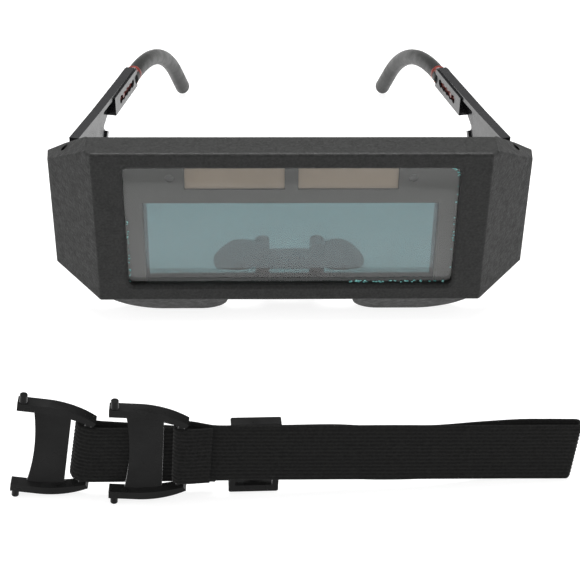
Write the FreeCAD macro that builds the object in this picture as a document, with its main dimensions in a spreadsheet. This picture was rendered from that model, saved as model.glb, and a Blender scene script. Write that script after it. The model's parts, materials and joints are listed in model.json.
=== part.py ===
"""Welding goggles with an auto-darkening filter, folding temples and a clip-on elastic headband.

Everything is modelled round the middle of the front rim: X to the right, Y back towards the face, Z up. Each
sub-part is then lifted by one common Placement, which puts the origin on the table under the middle of the
goggles and headband together. Sizes are millimetres and come from the spreadsheet Dims.
"""

import FreeCAD, Part
import math
import os

import Sketcher
from FreeCAD import Placement, Rotation, Vector

doc = FreeCAD.newDocument("welding_goggles")

# ---------------------------------------------------------------- driving dimensions
DIMENSIONS = [
    ("lens_high", 36.0, "middle of the lens above the table"),
    ("rim_front", -32.94, "front rim plane in the part's own frame"),
    ("rim_half_x", 60.5, "half width of the flat front rim"),
    ("rim_half_z", 27.5, "half height of the front frame"),
    ("lip", 2.0, "thickness of the lip in front of the cover lens"),
    ("view_x", 103.0, "clear width of the front opening"),
    ("view_z", 44.0, "clear height of the front opening"),
    ("pocket_x", 108.4, "width of the cartridge pocket"),
    ("pocket_z", 51.2, "height of the cartridge pocket"),
    ("frame_back", 10.6, "depth of the frame at its middle"),
    ("wing_x", 76.0, "half width over the side wings"),
    ("wing_front", 14.0, "depth at which a wing's bevel ends"),
    ("wing_back", 20.5, "depth of a wing's rear corner"),
    ("wing_top", 16.0, "height of a wing's upper outer corner"),
    ("wing_low", -21.8, "height of a wing's lower outer corner"),
    ("hinge_x", 69.8, "temple hinge axis from the middle"),
    ("hinge_y", 14.0, "temple hinge axis behind the rim plane"),
    ("clip_half", 16.3, "half height over a clip bracket's lugs"),
    ("peg_rad", 1.05, "radius of a clip peg"),
    ("peg_long", 2.4, "length of a clip peg"),
    ("hinge_gap", 0.06, "radial clearance of a peg in its hole"),
    ("lug_rad", 2.1, "radius of a clip lug"),
    ("case_x", 107.6, "width of the filter cartridge"),
    ("case_z", 50.6, "height of the filter cartridge"),
    ("case_front", 3.1, "depth of the cartridge's front face"),
    ("case_split", 5.5, "depth of the cartridge's parting plane"),
    ("case_back", 8.5, "depth of the cartridge's rear face"),
    ("win_x", 92.0, "width of the viewing window"),
    ("win_z", 30.5, "height of the viewing window"),
    ("win_mid", -7.35, "height of the viewing window's middle"),
    ("cell_x", 30.6, "width of a solar cell"),
    ("cell_z", 9.0, "height of a solar cell"),
    ("cell_low", 12.9, "height of a solar cell's lower edge"),
    ("cell_mid", 17.4, "distance of a solar cell's middle from the centre line"),
    ("sensor_x", 37.3, "light sensor from the centre line"),
    ("sensor_z", 17.0, "height of the light sensors"),
    ("rest_angle", 12.5, "inward angle of a temple as it stands on the table"),
    ("arm_end", 69.5, "hinge axis to the rear end of a temple arm"),
    ("slide_fall", 6.0, "downward slope of the ear hook slide, degrees"),
    ("hook_rad", 2.75, "radius of the ear hook"),
    ("band_wide", 20.8, "width of the elastic band"),
    ("band_thick", 0.9, "thickness of the elastic band"),
]


class Size:
    """A spreadsheet value together with the expression that reads it, so that sums of sizes stay expressions."""

    def __init__(self, value, text):
        self.value = float(value)
        self.text = text

    def join(self, other, sign, value, swap=False):
        other_text = other.text if isinstance(other, Size) else repr(float(other))
        pair = (other_text, self.text) if swap else (self.text, other_text)
        return Size(value, f"({pair[0]} {sign} {pair[1]})")

    def __add__(self, other):
        return self.join(other, "+", self.value + number(other))

    def __radd__(self, other):
        return self.join(other, "+", self.value + number(other), swap=True)

    def __sub__(self, other):
        return self.join(other, "-", self.value - number(other))

    def __rsub__(self, other):
        return self.join(other, "-", number(other) - self.value, swap=True)

    def __mul__(self, other):
        return self.join(other, "*", self.value * number(other))

    __rmul__ = __mul__

    def __truediv__(self, other):
        return self.join(other, "/", self.value / number(other))

    def __neg__(self):
        return Size(-self.value, f"(-1 * {self.text})")


def number(size):
    return size.value if isinstance(size, Size) else float(size)


class Dims:
    """The spreadsheet's cells as attributes."""


def make_sheet():
    sheet = doc.addObject("Spreadsheet::Sheet", "Dims")
    dims = Dims()
    for row, (alias, value, note) in enumerate(DIMENSIONS, start=1):
        sheet.set(f"A{row}", note)
        sheet.set(f"B{row}", str(value))
        sheet.setAlias(f"B{row}", alias)
        setattr(dims, alias, Size(value, f"Dims.{alias}"))
    doc.recompute()
    return dims


d = make_sheet()


# ---------------------------------------------------------------- sketches
# The planes that sketches lie in: role of the origin plane, turn of a free sketch, and which way its normal faces.
PLANES = {
    "XY": ("XY_Plane", Rotation(), 1),
    "XZ": ("XZ_Plane", Rotation(Vector(1, 0, 0), 90), -1),
    "YZ": ("YZ_Plane", Rotation(Vector(1, 1, 1), 120), 1),
}


def bind(thing, property_name, size):
    """Sets a property from a number, or binds it to the sheet when the size comes from there."""
    if isinstance(size, Size):
        thing.setExpression(property_name, size.text)
    else:
        setattr(thing, property_name, size)


def fix(sketch, kind, element, point, size):
    """Dimensions one point of a sketch from its origin."""
    index = sketch.addConstraint(Sketcher.Constraint(kind, -1, 1, element, point, number(size)))
    if isinstance(size, Size):
        sketch.renameConstraint(index, f"{kind}{index}")
        sketch.setExpression(f"Constraints.{kind}{index}", size.text)


def fix_radius(sketch, element, size):
    index = sketch.addConstraint(Sketcher.Constraint("Radius", element, number(size)))
    if isinstance(size, Size):
        sketch.renameConstraint(index, f"Radius{index}")
        sketch.setExpression(f"Constraints.Radius{index}", size.text)


def arc_through(start, middle, end):
    """A counter-clockwise arc over three points, and whether it runs backwards from end to start."""
    curve = Part.Circle(start, middle, end)
    centre = curve.Center
    backwards = (middle - start).cross(end - middle).z < 0
    first, last = (end, start) if backwards else (start, end)
    angle_first = math.atan2(first.y - centre.y, first.x - centre.x)
    angle_last = math.atan2(last.y - centre.y, last.x - centre.x)
    if angle_last < angle_first:
        angle_last += 2 * math.pi
    circle = Part.Circle(centre, Vector(0, 0, 1), curve.Radius)
    return Part.ArcOfCircle(circle, angle_first, angle_last), backwards


def outline(*points):
    """A closed outline. A point is (x, y), or (x, y, "bend") for the middle of an arc between its neighbours."""

    def draw(sketch):
        first = sketch.GeometryCount
        corners = [point for point in points if len(point) == 2]
        ends = []
        for i, point in enumerate(corners):
            following = points[(points.index(point) + 1) % len(points)]
            target = corners[(i + 1) % len(corners)]
            start = Vector(number(point[0]), number(point[1]), 0)
            end = Vector(number(target[0]), number(target[1]), 0)
            if len(following) == 3:
                middle = Vector(number(following[0]), number(following[1]), 0)
                curve, backwards = arc_through(start, middle, end)
                sketch.addGeometry(curve, False)
                ends.append((2, 1) if backwards else (1, 2))
                fix_radius(sketch, first + i, curve.Radius)
            else:
                sketch.addGeometry(Part.LineSegment(start, end), False)
                ends.append((1, 2))
        for i, point in enumerate(corners):
            after = (i + 1) % len(corners)
            joint = Sketcher.Constraint("Coincident", first + i, ends[i][1], first + after, ends[after][0])
            sketch.addConstraint(joint)
            fix(sketch, "DistanceX", first + i, ends[i][0], point[0])
            fix(sketch, "DistanceY", first + i, ends[i][0], point[1])

    return draw


def circle(x, y, radius):
    def draw(sketch):
        centre = Vector(number(x), number(y), 0)
        element = sketch.addGeometry(Part.Circle(centre, Vector(0, 0, 1), number(radius)), False)
        fix(sketch, "DistanceX", element, 3, x)
        fix(sketch, "DistanceY", element, 3, y)
        fix_radius(sketch, element, radius)

    return draw


def rounded(x_low, x_high, y_low, y_high, radius):
    """A rectangle with rounded corners: four sides, and a tangent arc at each corner."""

    def draw(sketch):
        left, right, low, high, r = (number(size) for size in (x_low, x_high, y_low, y_high, radius))
        first = sketch.GeometryCount
        sides = [
            ((left + r, low), (right - r, low)),
            ((right, low + r), (right, high - r)),
            ((right - r, high), (left + r, high)),
            ((left, high - r), (left, low + r)),
        ]
        corners = [((right - r, low + r), 270), ((right - r, high - r), 0), ((left + r, high - r), 90),
                   ((left + r, low + r), 180)]
        for start, end in sides:
            sketch.addGeometry(Part.LineSegment(Vector(*start, 0), Vector(*end, 0)), False)
        for centre, angle in corners:
            ring = Part.Circle(Vector(*centre, 0), Vector(0, 0, 1), r)
            arc = Part.ArcOfCircle(ring, math.radians(angle), math.radians(angle + 90))
            sketch.addGeometry(arc, False)
        for i in range(4):
            arc = first + 4 + i
            sketch.addConstraint(Sketcher.Constraint("Tangent", first + i, 2, arc, 1))
            sketch.addConstraint(Sketcher.Constraint("Tangent", arc, 2, first + (i + 1) % 4, 1))
            level = "Horizontal" if i % 2 == 0 else "Vertical"
            sketch.addConstraint(Sketcher.Constraint(level, first + i))
            if i:
                sketch.addConstraint(Sketcher.Constraint("Equal", first + 4, arc))
        fix_radius(sketch, first + 4, radius)
        fix(sketch, "DistanceY", first, 1, y_low)
        fix(sketch, "DistanceX", first + 1, 1, x_high)
        fix(sketch, "DistanceY", first + 2, 1, y_high)
        fix(sketch, "DistanceX", first + 3, 1, x_low)

    return draw


# ---------------------------------------------------------------- two ways to make a piece
class Piece:
    """A PartDesign body, made one pad or pocket at a time."""

    def __init__(self, name):
        self.name = name
        self.body = doc.addObject("PartDesign::Body", name)
        self.body.Label = name
        self.body.AllowCompound = True

    def sketch(self, plane, level, outlines):
        role, _, facing = PLANES[plane]
        sketch = self.body.newObject("Sketcher::SketchObject", f"{self.name}_sketch")
        support = [feature for feature in self.body.Origin.OriginFeatures if feature.Role == role][0]
        sketch.AttachmentSupport = [(support, "")]
        sketch.MapMode = "FlatFace"
        height = level * facing
        if isinstance(height, Size):
            sketch.setExpression("AttachmentOffset.Base.z", height.text)
        else:
            sketch.AttachmentOffset = Placement(Vector(0, 0, height), Rotation())
        for draw in outlines:
            draw(sketch)
        return sketch

    def feature(self, kind, plane, start, end, outlines):
        sketch = self.sketch(plane, start, outlines)
        feature = self.body.newObject(f"PartDesign::{kind}", f"{self.name}_{kind.lower()}")
        feature.Profile = sketch
        bind(feature, "Length", end - start)
        toward_plus = PLANES[plane][2] > 0
        feature.Reversed = toward_plus if kind == "Pocket" else not toward_plus
        return feature

    def pad(self, plane, start, end, *outlines):
        """Adds material from one level to a higher one, across the plane."""
        self.feature("Pad", plane, start, end, outlines)

    def pocket(self, plane, start, end, *outlines):
        """Takes material away from one level to a higher one, across the plane."""
        doc.recompute()
        before = self.body.Shape.Volume
        self.feature("Pocket", plane, start, end, outlines)
        doc.recompute()
        if self.body.Shape.Volume > before - 0.001:
            raise RuntimeError(f"a pocket in {self.name} cuts nothing")


def prism(name, plane, start, end, *outlines):
    """A free sketch extruded from one level to a higher one, for use in booleans."""
    _, turn, facing = PLANES[plane]
    sketch = doc.addObject("Sketcher::SketchObject", f"{name}_sketch")
    axis = {"XY": "z", "XZ": "y", "YZ": "x"}[plane]
    base = Vector()
    setattr(base, axis, number(start))
    sketch.Placement = Placement(base, turn)
    if isinstance(start, Size):
        sketch.setExpression(f"Placement.Base.{axis}", start.text)
    for draw in outlines:
        draw(sketch)
    solid = doc.addObject("Part::Extrusion", name)
    solid.Base = sketch
    solid.DirMode = "Normal"
    solid.Solid = True
    solid.Reversed = facing < 0
    bind(solid, "LengthFwd", end - start)
    return solid


def rod(name, x, y, start, end, radius):
    """An upright Part cylinder."""
    cylinder = doc.addObject("Part::Cylinder", name)
    cylinder.Placement = Placement(Vector(number(x), number(y), number(start)), Rotation())
    for axis, size in (("x", x), ("y", y), ("z", start)):
        if isinstance(size, Size):
            cylinder.setExpression(f"Placement.Base.{axis}", size.text)
    bind(cylinder, "Radius", radius)
    bind(cylinder, "Height", end - start)
    return cylinder


def combine(kind, name, shapes):
    """A Part::MultiFuse or Part::MultiCommon of several objects."""
    result = doc.addObject(f"Part::Multi{kind}", name)
    result.Shapes = shapes
    return result


def cut(name, base, tool):
    result = doc.addObject("Part::Cut", name)
    result.Base = base
    result.Tool = tool
    return result


def mirrored(points, side):
    """Outline points with their first coordinate on one side: side is 1 or -1."""
    return [(point[0] * side, *point[1:]) for point in points]


def across(side, low, high):
    """Two levels of a lateral range on one side, lower one first."""
    return (low, high) if side > 0 else (-high, -low)


def box_outline(x_low, x_high, y_low, y_high):
    return outline((x_low, y_low), (x_high, y_low), (x_high, y_high), (x_low, y_high))


finished = []


def keep(thing, x=0.0, y=0.0, z=0.0, turn=None):
    """Lifts a finished sub-part from the lens frame to the table frame and notes it for export."""
    base = Vector(number(x), number(y + d.rim_front), number(z + d.lens_high))
    thing.Placement = Placement(base, turn or Rotation())
    if isinstance(x, Size):
        thing.setExpression("Placement.Base.x", x.text)
    thing.setExpression("Placement.Base.y", (d.rim_front + y).text)
    thing.setExpression("Placement.Base.z", (d.lens_high + z).text)
    finished.append(thing)


# ---------------------------------------------------------------- front frame
RETAINER_FRONT = 9.3
RETAINER_BACK = 10.6
SCREW_RAD = 1.0
SCREW_X = 58.6
SCREW_Z = 19.5
SCREWS = [(x, z) for x in (-SCREW_X, SCREW_X) for z in (-SCREW_Z, SCREW_Z)]


def wing_shape(name, plan, silhouette, depth, height):
    """The common part of a plan outline and a front outline."""
    tall = prism(f"{name}_plan", "XY", -height, height, outline(*plan))
    deep = prism(f"{name}_front", "XZ", -1.0, depth, outline(*silhouette))
    return combine("Common", name, [tall, deep])


def front_shell():
    """The outer shape: a bevelled plan crossed with an octagonal front view, with softened edges."""
    back_x = 62.0
    wing_heel = 70.0
    heel_y = 16.8
    half = [(d.rim_half_x, 0.0), (d.wing_x - 0.6, d.wing_front), (d.wing_x, d.wing_back), (wing_heel, heel_y),
            (back_x, d.frame_back)]
    plan = mirrored(half, 1) + mirrored(half[::-1], -1)
    half_front = [(d.rim_half_x, -d.rim_half_z), (d.wing_x + 0.5, d.wing_low), (d.wing_x + 0.5, d.wing_top),
                  (back_x, d.rim_half_z)]
    silhouette = mirrored(half_front, 1) + mirrored(half_front[::-1], -1)
    shell = wing_shape("outer_shape", plan, silhouette, d.wing_back + 1.0, d.rim_half_z + 1.0)
    doc.recompute()
    soft = doc.addObject("Part::Fillet", "softened_shape")
    soft.Base = shell
    edge_radius = 1.0
    front_y = 14.5
    soft.Edges = [
        (i, edge_radius, edge_radius)
        for i, edge in enumerate(shell.Shape.Edges, start=1)
        if edge.BoundBox.YMax < front_y
    ]
    return soft


def wing_cavities():
    """The hollow behind each bevelled wing, open to the back."""
    rib_x = 56.0
    start_x = d.rim_half_x
    end_x = 73.6
    bevel_y = d.lip + (end_x - start_x) * 14.0 / 14.9
    deep = 26.0
    hollow = []
    for side, label in ((-1, "left"), (1, "right")):
        plan = [(rib_x, d.lip), (start_x, d.lip), (end_x, bevel_y), (end_x + 0.6, deep),
                (rib_x, deep)]
        front = [(rib_x, -25.5), (60.0, -25.5), (end_x + 0.6, -20.2), (end_x + 0.6, 15.1), (61.3, 25.5),
                 (rib_x, 25.5)]
        views = (mirrored(plan, side), mirrored(front, side))
        hollow.append(wing_shape(f"wing_cavity_{label}", *views, deep, d.rim_half_z))
    return hollow


def hinge_bosses():
    """The upper and lower bosses that a clip's pegs turn in, inside each wing."""
    boss_rad = 2.6
    gap = 0.3
    bosses = []
    for side, label in ((-1, "left"), (1, "right")):
        x = d.hinge_x * side
        upper = rod(f"upper_boss_{label}", x, d.hinge_y, d.clip_half + gap, 20.6, boss_rad)
        lower = rod(f"lower_boss_{label}", x, d.hinge_y, -23.6, -d.clip_half - gap, boss_rad)
        bosses += [upper, lower]
    return bosses


def screw_bosses():
    """Posts in the wings for the retainer's screws."""
    post_rad = 2.3
    posts = []
    for x, z in SCREWS:
        posts.append(prism(f"screw_post_{len(posts)}", "XZ", 1.0, RETAINER_FRONT, circle(x, z, post_rad)))
    return posts


def cheek_lobes():
    """The two hollow lobes under the frame that rest on the cheeks, and on the table when it is set down."""
    top = -26.4
    skin = 1.6
    lobes = []
    for side, label in ((-1, "left"), (1, "right")):
        parts = []
        for name, inset in (("outer", 0.0), ("inner", skin)):
            low = -d.lens_high + inset
            front = [(20.0 + inset, top), (21.6 + inset, -32.2 + inset, "bend"), (28.5, low), (42.0, low),
                     (51.5 - inset, -32.6 + inset, "bend"), (57.5 - inset, top)]
            depth = 10.4 if name == "outer" else 12.0
            face = 0.9 + inset
            section = [(face, -26.0), (face, -27.6), (face + 6.2, low), (depth, low), (depth, -26.0)]
            x_range = across(side, 19.0, 59.0)
            wide = prism(f"lobe_{name}_{label}_side", "YZ", *x_range, outline(*section))
            deep = prism(f"lobe_{name}_{label}_front", "XZ", 0.0, 15.0, outline(*mirrored(front, side)))
            parts.append(combine("Common", f"lobe_{name}_{label}", [wide, deep]))
        lobes.append(cut(f"cheek_lobe_{label}", *parts))
    return lobes


def make_front_frame():
    half_open_x = d.view_x / 2
    half_open_z = d.view_z / 2
    half_pocket_x = d.pocket_x / 2
    half_pocket_z = d.pocket_z / 2
    retainer_x = 61.4
    corner = 2.2
    shell = cut("hollow_shell", front_shell(), combine("Fuse", "wing_hollows", wing_cavities()))
    bosses = combine("Fuse", "bosses", hinge_bosses() + screw_bosses())
    inside = wing_shape(
        "boss_limit",
        [(-75.0, 15.0), (-60.0, 0.6), (60.0, 0.6), (75.0, 15.0), (75.0, 20.0), (-75.0, 20.0)],
        [(-74.5, -21.6), (-61.0, -27.0), (61.0, -27.0), (74.5, -21.6), (74.5, 16.0), (62.0, 26.8), (-62.0, 26.8),
         (-74.5, 16.0)],
        20.0,
        d.rim_half_z,
    )
    trimmed = combine("Common", "trimmed_bosses", [bosses, inside])
    solid = combine("Fuse", "frame_solid", [shell, trimmed] + cheek_lobes())
    opening = prism("view_opening", "XZ", -1.0, d.lip + 1.0,
                    rounded(-half_open_x, half_open_x, -half_open_z, half_open_z, corner))
    pocket = prism("cartridge_pocket", "XZ", d.lip, 30.0,
                   rounded(-half_pocket_x, half_pocket_x, -half_pocket_z, half_pocket_z, corner))
    seat = prism("retainer_seat", "XZ", RETAINER_FRONT, 30.0,
                 rounded(-retainer_x, retainer_x, -half_pocket_z, half_pocket_z, corner))
    bores = []
    peg_bore = d.peg_rad + d.hinge_gap
    for side, label in ((-1, "left"), (1, "right")):
        pin = (d.hinge_x * side, d.hinge_y)
        bores.append(rod(f"peg_bore_{label}", *pin, -d.rim_half_z, d.rim_half_z, peg_bore))
    for x, z in SCREWS:
        bores.append(prism(f"screw_bore_{len(bores)}", "XZ", 4.5, 13.0, circle(x, z, SCREW_RAD + 0.04)))
    openings = combine("Fuse", "frame_openings", [opening, pocket, seat] + bores)
    frame = cut("frame_cut", solid, openings)
    doc.recompute()
    bevel = doc.addObject("Part::Chamfer", "front_frame")
    bevel.Base = frame
    lip_bevel = 0.8
    bevel.Edges = [
        (i, lip_bevel, lip_bevel)
        for i, edge in enumerate(frame.Shape.Edges, start=1)
        if edge.BoundBox.YMax < 0.01 and abs(edge.BoundBox.XMax) < 52 and abs(edge.BoundBox.XMin) < 52
        and edge.BoundBox.ZMax < 23 and edge.BoundBox.ZMin > -23
    ]
    bevel.Label = "front_frame"
    keep(bevel)



# ---------------------------------------------------------------- the filter cartridge and what holds it
def window_box(size_x, size_z):
    """The outline of something centred on the viewing window."""
    half_x = size_x / 2
    return box_outline(-half_x, half_x, d.win_mid - size_z / 2, d.win_mid + size_z / 2)


def cell_box(side, margin):
    low_x, high_x = across(side, d.cell_mid - d.cell_x / 2 - margin, d.cell_mid + d.cell_x / 2 + margin)
    return box_outline(low_x, high_x, d.cell_low - margin, d.cell_low + d.cell_z + margin)


def cartridge_outline(shrink, radius):
    half_x = d.case_x / 2 - shrink
    half_z = d.case_z / 2 - shrink
    return rounded(-half_x, half_x, -half_z, half_z, radius)


BOARD_LOW = 11.2
BOARD_HIGH = 23.2
BOARD_HALF = 44.0
BOARD_FRONT = 5.7
BOARD_BACK = 6.5
GLASS_BACK = 6.6
SHUTTER_BACK = 8.0


def make_cartridge():
    cover = Piece("cover_lens")
    cover.pad("XZ", d.lip, 3.0, cartridge_outline(0.0, 2.0))
    keep(cover.body)

    front = Piece("filter_case_front")
    front.pad("XZ", d.case_front, d.case_split, cartridge_outline(0.0, 1.5))
    front.pocket("XZ", d.case_front, d.case_split, window_box(d.win_x, d.win_z))
    cell_back = 4.6
    cell_front = 3.7
    front.pocket("XZ", d.case_front, cell_back, cell_box(-1, 0.1), cell_box(1, 0.1))
    sensor_rad = 1.3
    holes = [circle(d.sensor_x * side, d.sensor_z, sensor_rad + 0.1) for side in (-1, 1)]
    front.pocket("XZ", d.case_front, d.case_split, *holes)
    keep(front.body)

    rear = Piece("filter_case_rear")
    rear.pad("XZ", d.case_split, d.case_back, cartridge_outline(0.0, 1.5))
    glass_x = 95.0
    glass_z = 33.0
    rear.pocket("XZ", d.case_split, SHUTTER_BACK, window_box(glass_x + 0.4, glass_z + 0.4))
    rear.pocket("XZ", d.case_split, d.case_back, box_outline(-45.0, 45.0, -23.7, 7.2))
    board_room = box_outline(-BOARD_HALF - 0.5, BOARD_HALF + 0.5, BOARD_LOW - 0.5, BOARD_HIGH + 0.4)
    rear.pocket("XZ", d.case_split, 8.1, board_room)
    keep(rear.body)

    glass = Piece("uv_ir_filter_glass")
    glass.pad("XZ", d.case_split, GLASS_BACK, window_box(glass_x, glass_z))
    keep(glass.body)

    shutter = Piece("lcd_shutter")
    shutter.pad("XZ", GLASS_BACK, SHUTTER_BACK, window_box(glass_x, glass_z))
    keep(shutter.body)

    for side, label in ((-1, "left"), (1, "right")):
        cell = Piece(f"solar_cell_{label}")
        cell.pad("XZ", cell_front, cell_back, cell_box(side, 0.0))
        keep(cell.body)
        sensor = Piece(f"light_sensor_{label}")
        sensor.pad("XZ", d.case_front + 0.3, BOARD_FRONT, circle(d.sensor_x * side, d.sensor_z, sensor_rad))
        keep(sensor.body)

    board = Piece("circuit_board")
    board.pad("XZ", BOARD_FRONT, BOARD_BACK, box_outline(-BOARD_HALF, BOARD_HALF, BOARD_LOW, BOARD_HIGH))
    chips = [(-34.0, -26.0, 14.0, 20.0), (-19.0, -15.0, 13.0, 21.0), (-9.0, -2.0, 14.5, 19.5),
             (6.0, 9.0, 13.0, 16.0)]
    chip_top = 7.7
    board.pad("XZ", BOARD_BACK, chip_top, *[box_outline(*chip) for chip in chips])
    keep(board.body)

    cell_x = 27.0
    cell_z = 17.2
    backup = Piece("backup_cell")
    backup.pad("XZ", BOARD_BACK, 8.0, circle(cell_x, cell_z, 5.0))
    keep(backup.body)

    inner = Piece("inner_cover_lens")
    inner.pad("XZ", d.case_back, RETAINER_FRONT, cartridge_outline(0.8, 2.0))
    keep(inner.body)


def make_retainer():
    retainer = Piece("cartridge_retainer")
    half_x = 61.0
    half_z = 25.3
    open_x = 49.0
    open_low = -24.2
    open_high = 20.0
    retainer.pad("XZ", RETAINER_FRONT, RETAINER_BACK, rounded(-half_x, half_x, -half_z, half_z, 2.0))
    retainer.pocket("XZ", RETAINER_FRONT, RETAINER_BACK, rounded(-open_x, open_x, open_low, open_high, 1.5))
    holes = [circle(x, z, SCREW_RAD + 0.15) for x, z in SCREWS]
    retainer.pocket("XZ", RETAINER_FRONT, RETAINER_BACK, *holes)
    keep(retainer.body)

    screws = Piece("retainer_screws")
    head_rad = 1.9
    head_back = 11.5
    slot_half = 0.3
    arm = 1.2
    screws.pad("XZ", RETAINER_BACK, head_back, *[circle(x, z, head_rad) for x, z in SCREWS])
    screws.pad("XZ", 5.2, RETAINER_BACK, *[circle(x, z, SCREW_RAD) for x, z in SCREWS])
    cross = [box_outline(x - arm, x + arm, z - slot_half, z + slot_half) for x, z in SCREWS]
    screws.pocket("XZ", head_back - 0.5, head_back, *cross)
    upright = [box_outline(x - slot_half, x + slot_half, z - arm, z + arm) for x, z in SCREWS]
    screws.pocket("XZ", head_back - 0.5, head_back, *upright)
    keep(screws.body)


# ---------------------------------------------------------------- nose piece
def make_nose_piece():
    """A bar clipped over the retainer's lower rail, with a soft pad on each side of the nose."""
    rail_top = -24.2
    bar_low = -22.6
    bar_high = -18.0
    bar_back = 15.4
    lug_x = 8.8
    lug_half = 2.3
    lug_top = -12.6
    bridge = Piece("nose_bridge")
    bridge.pad("XZ", RETAINER_BACK, bar_back, box_outline(-lug_x, lug_x, bar_low, bar_high))
    lugs = [outline((side * (lug_x - lug_half), -25.2), (side * (lug_x + lug_half), -25.2),
                    (side * (lug_x + lug_half), lug_top - 1.4), (side * lug_x, lug_top, "bend"),
                    (side * (lug_x - lug_half), lug_top - 1.4)) for side in (-1, 1)]
    bridge.pad("XZ", RETAINER_BACK, bar_back, *lugs)
    hook_x = (lug_x - 2.0, lug_x + 2.0)
    hooks = [box_outline(*across(side, *hook_x), rail_top, rail_top + 1.6) for side in (-1, 1)]
    bridge.pad("XZ", RETAINER_FRONT + 0.2, RETAINER_BACK, *hooks)
    keep(bridge.body)

    pad_rad = 2.9
    for side, label in ((-1, "left"), (1, "right")):
        start = Vector(side * 11.2, bar_back + 0.02 + pad_rad, -19.6)
        middle = Vector(side * 17.4, 22.6, -23.0)
        end = Vector(side * 22.6, 26.6, -30.2)
        spine = Part.Wire([Part.Arc(start, middle, end).toShape()])
        heading = spine.Edges[0].tangentAt(spine.Edges[0].FirstParameter)
        section = Part.Wire([Part.Circle(start, heading, pad_rad).toShape()])
        tube = spine.makePipeShell([section], True, False)
        shape = tube.fuse([Part.makeSphere(pad_rad, start), Part.makeSphere(pad_rad, end)]).removeSplitter()
        pad = doc.addObject("Part::Feature", f"nose_pad_{label}")
        pad.Label = f"nose_pad_{label}"
        pad.Shape = shape
        keep(pad)


# ---------------------------------------------------------------- temples
# A temple is modelled with X from its hinge towards the ear, Y across it and Z up. "side" is -1 for the left
# temple, and the lateral distance w below is positive away from the head.
CHANNEL_W = -0.7
CHANNEL_HALF = 1.3
SLIDER_HALF_Z = 2.1
HOUSING_FRONT = 44.0
SLIDE_START = 46.0
SLIDE_HIGH = 9.5
SLIDE_AT = 57.0


def temple_place(thing, side):
    """Stands a temple piece on its hinge, turned inward by the rest angle."""
    turn = Rotation(Vector(0, 0, 1), 90 + side * d.rest_angle.value)
    keep(thing, d.hinge_x * side, d.hinge_y, 0.0, turn)


def slide_line(along):
    """Height of the ear hook's slide axis at a distance from the hinge."""
    return SLIDE_HIGH - (along - SLIDE_AT) * math.tan(math.radians(d.slide_fall.value))


def slide_band(start, end, half):
    """An outline along the slide axis, half above it and half below."""
    return outline((start, slide_line(start) - half), (end, slide_line(end) - half),
                   (end, slide_line(end) + half), (start, slide_line(start) + half))


def slide_dots(places, radius):
    return [circle(along, slide_line(along), radius) for along in places]


def lateral(side, low, high):
    """Levels across a temple: local Y grows outward on the left temple and inward on the right one."""
    return across(-side, low, high)


def make_temple_arm(side, label):
    arm = Piece(f"temple_arm_{label}")
    end = d.arm_end
    lug_reach = 7.4
    clip_top = d.clip_half
    plate = [
        (4.3, -clip_top), (27.0, -8.8, "bend"), (39.6, 5.8), (HOUSING_FRONT, 7.6), (end, 6.0), (end, 11.9),
        (60.0, 13.2), (30.0, 17.0), (lug_reach, 20.4), (lug_reach, clip_top), (4.3, clip_top),
    ]
    arm.pad("XZ", *lateral(side, -0.9, 0.9), outline(*plate))
    flange = [(lug_reach, 18.6), (30.0, 15.4), (60.0, 11.6), (end, 10.3), (end, 11.9), (60.0, 13.2), (30.0, 17.0),
              (lug_reach, 20.4)]
    arm.pad("XZ", *lateral(side, -2.2, 0.9), outline(*flange))
    low_rim = [(4.3, -clip_top), (27.0, -8.8, "bend"), (39.6, 5.8), (38.1, 6.7), (25.9, -7.4, "bend"),
               (4.3, -14.6)]
    arm.pad("XZ", *lateral(side, -1.6, 0.9), outline(*low_rim))
    arm.pad("XZ", *lateral(side, -2.8, 1.4), slide_band(HOUSING_FRONT, end, 3.3))
    # clip lugs with their pegs
    lug_thick = 2.5
    reach = lug_reach
    for start, stop, tip in ((clip_top - lug_thick, clip_top, 1), (-clip_top, lug_thick - clip_top, -1)):
        arm.pad("XY", start, stop, circle(0.0, 0.0, d.lug_rad))
        arm.pad("XY", start, stop, box_outline(0.0, reach, -1.6, 1.6))
    arm.pad("XY", clip_top, clip_top + d.peg_long, circle(0.0, 0.0, d.peg_rad))
    arm.pad("XY", -clip_top - d.peg_long, -clip_top, circle(0.0, 0.0, d.peg_rad))
    # the channel for the ear hook's slider, its scalloped slot and the relief in front of the housing
    inner, outer = CHANNEL_W - CHANNEL_HALF, CHANNEL_W + CHANNEL_HALF
    channel = slide_band(SLIDE_START - 1.5, end + 1.0, SLIDER_HALF_Z + 0.1)
    arm.pocket("XZ", *lateral(side, inner, outer), channel)
    slot_ends = (50.0, 64.4)
    arm.pocket("XZ", *lateral(side, -3.2, inner), slide_band(*slot_ends, 1.0))
    lobes = [50.6, 54.0, 57.4, 60.8, 64.2]
    arm.pocket("XZ", *lateral(side, -3.2, inner), *slide_dots(lobes, 1.45))
    relief = outline((34.2, 9.6), (38.4, 4.2), (43.9, 6.4), (43.9, 13.0), (38.4, 13.8))
    arm.pocket("XZ", *lateral(side, -1.7, 0.2), relief)
    arm.pocket("XZ", *lateral(side, -1.0, 1.0), outline((10.6, 10.2), (12.2, 10.2), (13.4, 15.2)))
    temple_place(arm.body, side)


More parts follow.
